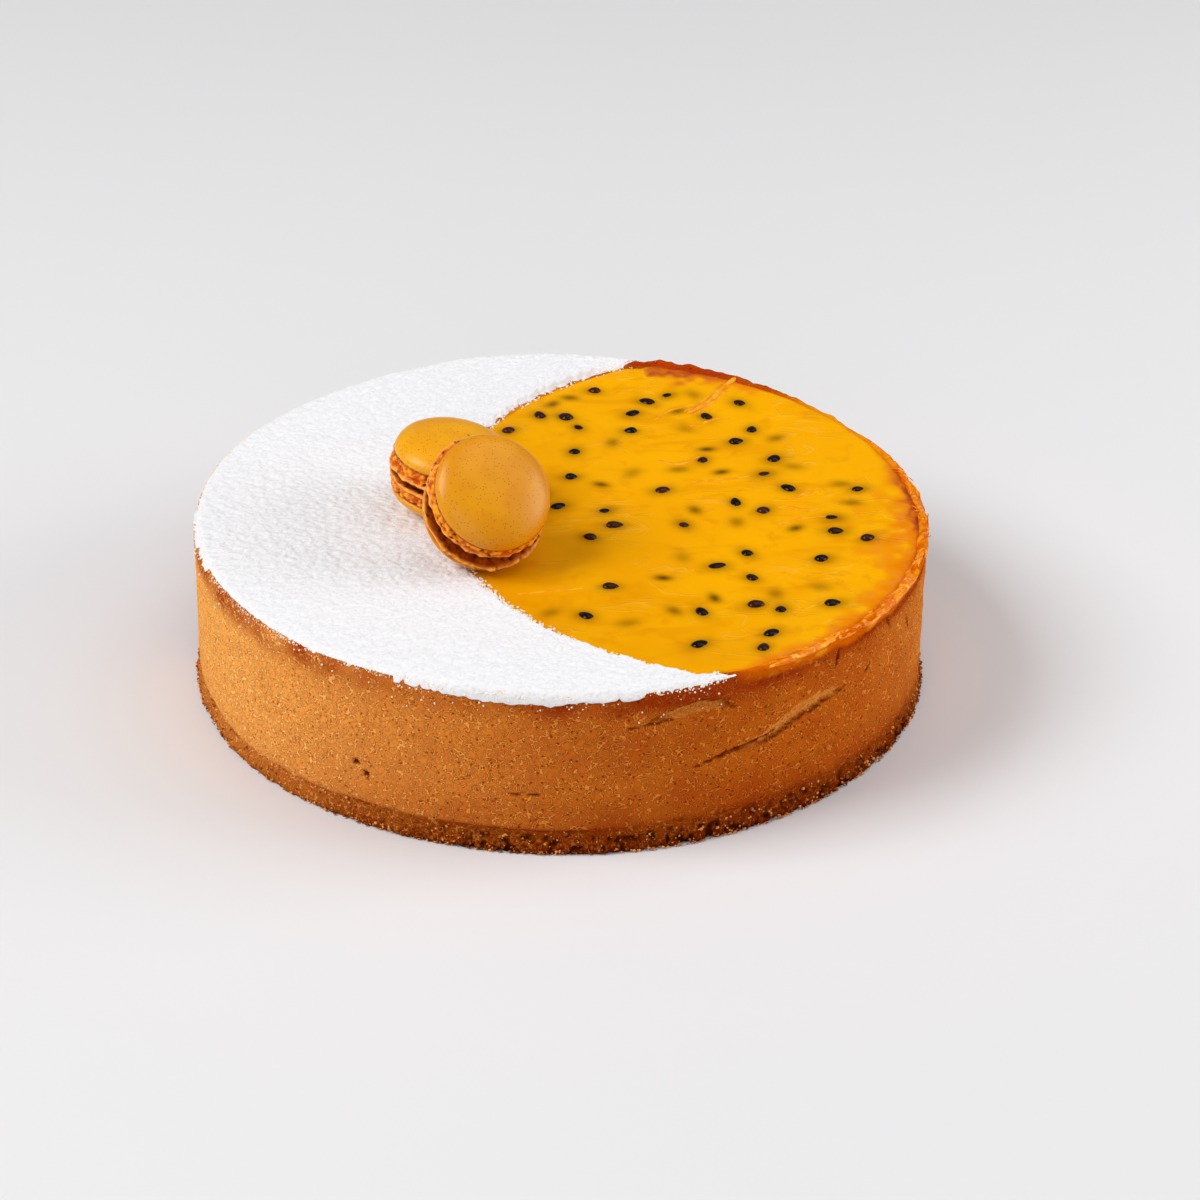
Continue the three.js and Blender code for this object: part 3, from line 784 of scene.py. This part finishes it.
rope = {
    "count": 60, "start": 6007, "from": -54, "to": 20,  # degrees round
    "radius": 118.9, "height": 55.5, "seat": (118.6, 55.0), "steps": 26,
    "dark": rgb(230, 112, 3), "colour": rgb(248, 148, 8), "light": rgb(255, 200, 76),
}


def rimStrands():
    draw = drawsFrom(rope["start"]).__next__
    steps = np.linspace(0, 1, rope["steps"])
    taper = np.sin(math.pi * np.linspace(0.05, 0.95, rope["steps"])) ** 0.5
    strands = []
    for _ in range(rope["count"]):
        middle = rope["from"] + (rope["to"] - rope["from"]) * draw()
        fine = draw() < 0.4
        if fine:
            length, thick, spread = 5 + 8 * draw(), 0.25 + 0.2 * draw(), 2.3
        else:
            length, thick, spread = 12 + 26 * draw(), 0.6 + 0.6 * draw(), 1.5
        first, second = drawPair(draw, spread)
        phase = 6 * draw()
        angle = np.radians(middle) + (steps - 0.5) * length / tart["radius"]
        lean = first + (second - first) * steps + 0.3 * np.sin(7 * steps + phase)  # across the crest
        height = rope["height"] + rimLift(angle) - 0.22 * lean ** 2 + 0.3 * draw() + 0.7 * fine
        spine = roundGrid((rope["radius"] + lean) * sideScale(angle), height, angle)
        strands.append(tube(spine, thick * taper * (1 + 0.12 * np.sin(13 * steps + phase))))
    points, faces = joined(strands)
    finish = Finish("glazedStrand", rope, Roughness=0.25, Specular_IOR_Level=0.45,
                    Specular_Tint=(1, 0.72, 0.3, 1))
    finish.set(Base_Color=finish.layers(
        "dark",
        (finish.noise(6).above(0.4, 0.62), "colour"),
        (finish.noise(2.2).above(0.55, 0.7) * 0.7, "light"),
    ))
    finish.bump(finish.noise(1.2), 0.2, 0.5)
    meshPiece("rimStrands", points, faces, finish)


# Icing sugar

sugar = {
    "columns": 760, "rows": 116, "underRows": [0, 2, 5, 10, 20, 55, 115],
    "outer": 119.4, "tip": 0.8, "tipRun": 0.042,  # the run is in radians
    "grains": 3200, "grainStart": 515, "formStart": 616,
    "edgeShare": 0.4, "rimShare": 0.52,  # the other loose grains cling to the wall
    "white": rgb(237, 236, 238), "shade": rgb(224, 222, 225), "grain": rgb(255, 238, 212),
}


def rimTop(r):  # height of the round rim, without its unevenness
    across = np.clip((r - crestRadius) / (tart["wall"] / 2 + 0.05), -1, 1)
    return rimBase + tart["rimCrown"] * np.sqrt(1 - across ** 2)


def sugarLevels(r, angle):  # underside and top
    high = ease(r, insideRadius - 2, crestRadius)
    under = np.maximum(tart["custardTop"] + 0.15, rimTop(r) + 0.1 + high * rimLift(angle))
    flat = tart["custardTop"] + 1.3 + (1.45 + rimLift(angle)) * ease(r, 60, insideRadius)
    over = rimTop(r) + rimLift(angle) + 0.75 - 0.2 * ease(r, crestRadius, sugar["outer"])
    return under, np.where(r < crestRadius, np.maximum(flat, under + 0.1), over)


def stencilEdge(away):  # radius of the sugar's inner edge, by angle from the stencil's side
    shift, size = tart["stencilShift"], tart["stencilRadius"]
    return shift * np.cos(away) + np.sqrt(size ** 2 - (shift * np.sin(away)) ** 2)


def icingSugar():
    reach = sugar["outer"] - sugar["tip"]
    shift, size = tart["stencilShift"], tart["stencilRadius"]
    half = math.acos((reach ** 2 + shift ** 2 - size ** 2) / (2 * reach * shift))
    last = 2 * math.pi - half + sugar["tipRun"]  # the front tip runs on along the rim
    away = np.linspace(half, last, sugar["columns"])[:, None]
    angle = away + stencilAngle
    rough = roundGrid(stencilEdge(away), 0 * away, angle)
    toTip = np.minimum(away - half, last - away) * crestRadius
    full = ease(toTip, 0, 22)
    inner = bumps(rough, (0.9, 3.4, 31), (0.9, 1.6, 32))
    inner = stencilEdge(away) + inner * (0.3 + 0.7 * full)

    # the outer edge is ragged, and slips down the wall in two places
    along = roundGrid(118, 0 * away, angle)
    turn = degreesRound(angle)
    hang = 1.8 * hump(turn, -96, 14) + hump(turn, -172, 14)
    ragged = bumps(along, (0.35, 7, 33), (0.3, 2.8, 39), (0.34, 1.2, 38))
    outer = sugar["outer"] - 0.3 + 0.4 * ragged + 0.4 * np.minimum(hang, 1)
    outer = np.minimum(outer, tart["radius"] - 0.15)
    inner = np.minimum(inner, outer - 0.4)
    share = np.linspace(0, 1, sugar["rows"] - 2)
    fall = np.maximum(hang + 1.3 * ragged - 0.2, 0) * full
    slipped = ease(fall, 0, 0.6)
    hem = outer + 0.1 + (tart["radius"] + 0.1 - outer) * slipped
    above = outer + 0.05 + (tart["radius"] - 0.15 - outer) * slipped
    r = np.concatenate((hem, above, outer + (inner - outer) * share), axis=1)
    flat = roundGrid(r * sideScale(angle), 0 * r, angle)
    fall = fall * (np.arange(sugar["rows"]) == 0)  # only the hem hangs
    under, level = sugarLevels(np.minimum(r, tart["radius"] - 0.1), angle)
    under, level = under - fall, level - fall

    # powdery top, thin at its edges, over a hidden underside with fewer rows
    atEdge = np.minimum(ease(r - inner, -0.3, 2.4), ease(outer - r, -0.3, 0.8))
    fade = atEdge * (0.12 + 0.88 * full)
    powder = bumps(flat, (0.27, 1.5, 34), (0.18, 0.95, 35), (0.12, 3.6, 36), (0.1, 15, 37))
    top = under + 0.2 + (level - under - 0.2) * fade + powder * (0.4 + 0.6 * fade)
    topPoints = roundGrid(r * sideScale(angle), np.maximum(top, under + 0.08), angle)
    few = sugar["underRows"]
    lowPoints = roundGrid((r * sideScale(angle))[:, few], under[:, few], angle)
    ring = np.concatenate((topPoints, lowPoints[:, ::-1]), axis=1)  # over the top and back beneath
    here = np.arange(ring[..., 0].size).reshape(ring.shape[:2])
    after = np.roll(here, -1, axis=1)
    faces = np.stack((here[:-1], here[1:], after[1:], after[:-1]), axis=-1).reshape(-1, 4).tolist()
    faces += [here[0].tolist(), here[-1, ::-1].tolist()]
    finish = sugarFinish("icingPowder", "white")
    meshPiece("icingSugar", ring.reshape(-1, 3), faces, finish, "sugar")
    looseGrains(half, sugarFinish("looseSugar", "grain"))


def sugarFinish(name, white):
    finish = Finish(name, sugar, Roughness=1.0, Specular_IOR_Level=0.15)
    grain = finish.noise(1.1, 3.0)
    finish.set(Base_Color=finish.mix(grain.above(0.25, 0.55), "shade", white))
    finish.bump(grain + finish.noise(0.5) * 0.6, 0.35, 0.7)
    return finish


def looseGrains(half, finish):
    random = np.random.default_rng(sugar["grainStart"])
    count = sugar["grains"]
    away = half + (2 * math.pi - 2 * half) * random.random(count)
    angle = away + stencilAngle
    inner = stencilEdge(away)
    kind, spread = random.random(count), random.random(count)
    atEdge, atRim = kind < sugar["edgeShare"], kind < sugar["edgeShare"] + sugar["rimShare"]
    onCustard = np.clip(inner + 1.0 - 3.4 * spread ** 2, 20, 118)
    r = np.select((atEdge, atRim), (onCustard, 118.3 + 1.6 * spread), tart["radius"] + 0.1)
    under = sugarLevels(r, angle)[0]
    nearEdge = np.where(r < inner, tart["custardTop"] + 0.2, under + 0.45)
    onWall = 53.8 + rimLift(angle) - 8.5 * spread ** 2.5
    z = np.select((atEdge, atRim), (nearEdge, under + 0.15), onWall)
    sizes = 0.16 + 0.24 * random.random(count) ** 2 + 0.12 * atEdge
    points, faces = lumps(roundGrid(r * sideScale(angle), z, angle), sizes, sugar["formStart"])
    meshPiece("sugarGrains", points, faces, finish)


# Macarons

shells = {
    "columns": 360,
    "foot": rgb(208, 88, 1), "ruffle": rgb(255, 164, 26), "crease": rgb(122, 36, 0),
    "lip": rgb(255, 180, 80),
    # inner, bead and cream are painted shade in the gap between the shells; crease is painted shade in the
    # holes
    "inner": rgb(140, 48, 1), "bead": rgb(212, 96, 3), "cream": rgb(112, 38, 3),
    "speck": rgb(112, 34, 0), "burnt": rgb(84, 18, 0),
}
macarons = {
    "back": {"lip": 20.0, "dome": 19.1, "foot": 5.2, "rise": 7.0, "cream": 2.4, "slip": (0.4, 0.3),
             "at": (-36.4, 3.7), "tilt": 7.5, "turn": -16.7, "start": 100, "spot": (4.0, 2.0),
             "tone": rgb(233, 156, 9), "light": rgb(239, 168, 12)},
    "front": {"lip": 20.4, "dome": 19.3, "foot": 4.3, "rise": 6.6, "cream": 2.6, "slip": (2.6, -1.1),
              "at": (-23.8, -29.1), "tilt": 46.6, "turn": -61.4, "start": 200, "spot": None,
              "tone": rgb(218, 139, 6), "light": rgb(225, 149, 9)},
}


def shellGrid(cake, start):  # flat side on height 0, frilled foot, smooth dome
    angle = roundAngles(shells["columns"])
    lip, dome, foot, rise = cake["lip"], cake["dome"], cake["foot"], cake["rise"]
    arc = np.linspace(0, 1.45, 26)
    corners = [(6, 0.5, 5), (lip - 4, 0.5, 0.7), (lip - 1.6, 0.15, 0.4), (lip - 0.3, 0.1, 0.3),
               (lip, 0.5, 0.3), (lip - 0.2, 1.0, 0.3), (lip - 1.1, 1.5, 0.3), (lip - 0.8, 2.6, 0.3),
               (dome - 0.4, foot - 0.6, 0.3), (dome - 0.6, foot - 0.1, 0.3),
               *[(dome * math.cos(t) ** 0.8, foot + 0.5 + (rise - 0.5) * math.sin(t), 1.0) for t in arc]]
    rowRadius, rowHeight, normal = profileRows(corners)
    r, z = rowRadius + 0 * angle, rowHeight + 0 * angle
    points = roundGrid(r, z + start, angle)
    frill = ease(z, 0.9, 1.5) * (1 - ease(z, foot - 0.3, foot + 0.3)) * ease(r, lip - 3.2, lip - 1.6)
    face = (1 - ease(z, 0.5, 1.2)) * ease(r, 9, 16)
    bubble, own = cellsAt(points * np.array((1, 1, 1.2)), 1.9, start + 1)
    holes = (1 - ease(bubble, 0.4, 0.85)) * (own > 0.45)
    beads = bumps(points, (0.5, 1.8, start + 2), (0.5, 1.0, start + 3))
    push = frill * (0.15 + beads - 1.2 * holes)
    push += face * (0.45 * noiseAt(points, 2.2, start + 4) + 0.3 * beads - 0.7 * holes * (r < lip - 1))
    smooth = 1 - ease(frill + face, 0, 0.3)
    push += smooth * bumps(points, (0.12, 9, start + 5), (0.2, 24, start + 6))
    aroundLip = roundGrid(lip, 0 * angle + start, angle)
    lipWave = bumps(aroundLip, (0.35, 5, start + 7), (0.15, 1.6, start + 8))
    edge = hump(z, 0.5, 0.9) * ease(r, lip - 2.2, lip - 0.8)
    grid = roundGrid(r + push * normal[:, 0] + edge * lipWave, z + push * normal[:, 1], angle)
    under = 1 - ease(z, foot - 0.4, foot + 0.5)
    marks = {
        "under": under,
        # the inner face in the gap between the shells, painted in shade
        "inner": (1 - ease(z, 0.55, 0.8)) * (1 - ease(r, lip - 1.0, lip - 0.3)),
        "lip": hump(z, 0.6, 0.45) * ease(r, lip - 1.6, lip - 0.5) * (1 - 0.8 * holes),
        # raised beads of the foot, which get painted light
        "beads": ease(beads, -0.25, 0.5),
        # painted shade in the holes and in the crease under the dome's edge
        "holes": np.clip((holes + hump(z, foot - 0.2, 0.45)) * under, 0, 1),
    }
    return closedRound(grid, (0, 0, 0.5), (0, 0, foot + rise)), marks


def creamGrid(cake):
    angle = roundAngles(120)
    half, edge = cake["cream"] / 2 - 0.3, cake["lip"] - 2.2
    corners = [(6, -half, 5), (edge - 0.9, -half, 0.4), (edge, -0.4 * half, 0.4),
               (edge, 0.4 * half, 0.4), (edge - 0.9, half, 5), (6, half, 1)]
    rowRadius, rowHeight, _ = profileRows(corners)
    r, z = rowRadius + 0 * angle, rowHeight + 0 * angle
    push = 0.45 * noiseAt(roundGrid(r, z + cake["start"], angle), 4, 41) * ease(r, edge - 3, edge)
    return closedRound(roundGrid(r + push, z, angle), (0, 0, -half), (0, 0, half))


def shellFinish(name, cake, spot):
    finish = Finish(name, shells, Specular_IOR_Level=0.22, Specular_Tint=(1, 0.82, 0.55, 1),
                    Coat_Roughness=0.3)
    under, beads = finish.mark("under"), finish.mark("beads")
    coats = [
        (finish.noise(11).above(0.35, 0.7), cake["light"]),
        (finish.dots(0.9, 0.2, 0.8) * (1 - under) * 0.75, "speck"),
        # the foot, with painted light on its raised beads
        (under, finish.mix(beads, "foot", "ruffle")),
        # painted shade on the inner face in the gap between the shells
        (finish.mark("inner"), finish.mix(beads * 0.55, "inner", "bead")),
        # painted shade in the holes and under the dome's edge
        (finish.mark("holes") * 0.9, "crease"),
        (finish.mark("lip") * 0.8, "lip"),
    ]
    if spot:  # one burnt fleck on the dome
        away = finish.node("VectorMath", {"operation": "DISTANCE"}, {0: finish.place, 1: spot}, "Value")
        coats.append((1 - away.above(0.0004, 0.0007), "burnt"))
    colour = finish.layers(cake["tone"], *coats)
    finish.set(Base_Color=colour, Roughness=0.38 - under * 0.16, Coat_Weight=0.3 - under * 0.26)
    finish.bump(finish.noise(0.7) * (0.2 + 0.8 * under), 0.12, 0.6)
    return finish


def creamFinish(name):
    finish = Finish(name, shells, Roughness=0.45)
    # the cream between the shells is darkened: painted shade in the gap
    finish.set(Base_Color=finish.mix(finish.noise(3), "cream", "burnt"))
    finish.bump(finish.noise(1.4), 0.3, 0.6)
    return finish


def macaron(name):
    cake = macarons[name]
    turn, tilt = math.radians(cake["turn"]), math.radians(cake["tilt"])
    spin = np.array(Matrix.Rotation(turn, 3, "Z") @ Matrix.Rotation(tilt, 3, "Y")).T
    slip = np.array((*cake["slip"], 0))
    up = np.array((0, 0, cake["cream"] / 2))
    (upper, upperFaces), upperMarks = shellGrid(cake, cake["start"])
    (lower, lowerFaces), lowerMarks = shellGrid(cake, cake["start"] + 50)
    cream, creamFaces = creamGrid(cake)
    upper = (upper + up) @ spin
    lower = (lower * np.array((1, -1, -1)) - up + slip) @ spin  # turned over
    cream = (cream + slip / 2) @ spin
    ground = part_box(f"macaron_{name}_lower_shell")[0].z * 1000
    place = np.array((*cake["at"], ground - lower[:, 2].min()))
    spot = None
    if cake["spot"]:
        onDome = np.array((*cake["spot"], cake["cream"] / 2 + cake["foot"] + cake["rise"] - 0.6))
        spot = Vector((place + onDome @ spin) * 0.001)
    finish, title = shellFinish(name + "Shell", cake, spot), name.capitalize()
    for side, points, faces, marks in (("upper", upper, upperFaces, upperMarks),
                                       ("lower", lower, lowerFaces, lowerMarks)):
        node = f"macaron_{name}_{side}_shell"
        meshPiece(side + "Shell" + title, points + place, faces, finish, node, marks)
    finish, node = creamFinish(name + "Cream"), f"macaron_{name}_cream"
    meshPiece("cream" + title, cream + place, creamFaces, finish, node)


# Crumbs along the foot of the case

crumbs = {
    "count": 1900, "start": 808, "formStart": 818, "flat": 0.8,
    "light": rgb(236, 152, 74), "dark": rgb(138, 56, 10),
}


def pastryCrumbs():
    random = np.random.default_rng(crumbs["start"])
    count = crumbs["count"]
    angle = random.random(count) * 2 * math.pi
    z = 0.45 + 6.5 * random.random(count) ** 2
    flare = footFlare(z, degreesRound(angle))
    r = tart["radius"] * sideScale(angle) - 0.2 + flare + 0.5 * random.random(count)
    sizes = 0.22 + 0.4 * random.random(count) ** 2
    places = roundGrid(r, np.maximum(z, sizes * 1.2), angle)
    points, faces = lumps(places, sizes, crumbs["formStart"], crumbs["flat"])
    finish = Finish("crumb", crumbs, Roughness=0.7, Specular_IOR_Level=0.3)
    baked = finish.noise(2.4, 1.0).above(0.4, 0.62)
    finish.set(Base_Color=finish.mix(baked, "dark", "light"))
    finish.bump(finish.noise(0.6), 0.2, 0.6)
    meshPiece("pastryCrumbs", points, faces, finish)


# Floor, light and camera

studio = {  # places and sizes in metres
    "floor": rgb(227, 226, 227), "floorShade": rgb(224, 223, 225), "floorRadius": 4.0, "floorSides": 96,
    "world": 0.16, "aim": (0, 0, 0.05),
    "lamps": [
        {"name": "leftKey", "at": (-1.67, -0.41, 1.77), "size": 1.35, "power": 48},
        {"name": "overhead", "at": (0.7, 0.2, 1.8), "size": 1.6, "power": 10},
        {"name": "frontFill", "at": (-0.2, -2.2, 0.9), "size": 1.6, "power": 11},
        {"name": "rightFill", "at": (1.5, 0.05, 0.6), "size": 1.0, "power": 13},
    ],
    "lens": 114.0, "sensor": 36, "cameraAt": (0.0, -1.104607, 0.639133),
    "lookDown": 29.181, "lookAside": -0.692, "roll": 0.794,  # degrees
}


def layFloor():
    turns = roundAngles(studio["floorSides"])
    disc = roundGrid(studio["floorRadius"], 0 * turns, turns)[:, 0]
    mesh = bpy.data.meshes.new("floor")
    mesh.from_pydata(disc.tolist(), [], [list(range(len(disc)))])
    paint = Finish("floorPaint", studio, Roughness=0.9, Specular_IOR_Level=0.1)
    paint.set(Base_Color=paint.mix(paint.noise(400), "floor", "floorShade"))
    mesh.materials.append(paint.material)
    floor = placed("floor", mesh)


def lightRoom():
    world = bpy.data.worlds.new("softRoom")
    world.use_nodes = True
    background = world.node_tree.nodes["Background"]
    background.inputs["Color"].default_value = (1, 1, 1, 1)
    background.inputs["Strength"].default_value = studio["world"]
    bpy.context.scene.world = world
    for lamp in studio["lamps"]:
        light = bpy.data.lights.new(lamp["name"], "AREA")
        light.energy = lamp["power"]
        light.size = lamp["size"]
        stand = placed(lamp["name"], light)
        stand.location = lamp["at"]
        stand.rotation_euler = (Vector(studio["aim"]) - stand.location).to_track_quat("-Z", "Y").to_euler()


def setCamera():
    camera = bpy.data.cameras.new("camera")
    camera.lens = studio["lens"]
    camera.sensor_width = studio["sensor"]
    stand = placed("camera", camera)
    aside = Matrix.Rotation(math.radians(studio["lookAside"]), 4, "Z")
    raised = Matrix.Rotation(math.radians(90 - studio["lookDown"]), 4, "X")
    rolled = Matrix.Rotation(math.radians(studio["roll"]), 4, "Z")
    stand.matrix_world = Matrix.Translation(studio["cameraAt"]) @ aside @ raised @ rolled
    bpy.context.scene.camera = stand
    bpy.context.scene.view_settings.view_transform = "Standard"


shownSeeds = seedPlaces()
pastryCase()
pastryCrumbs()
custardFill(shownSeeds)
fruitSeeds(shownSeeds)
pulpStrands()
rimStrands()
icingSugar()
macaron("back")
macaron("front")
print("all pieces made")
layFloor()
lightRoom()
setCamera()
print("floor, light and camera set")
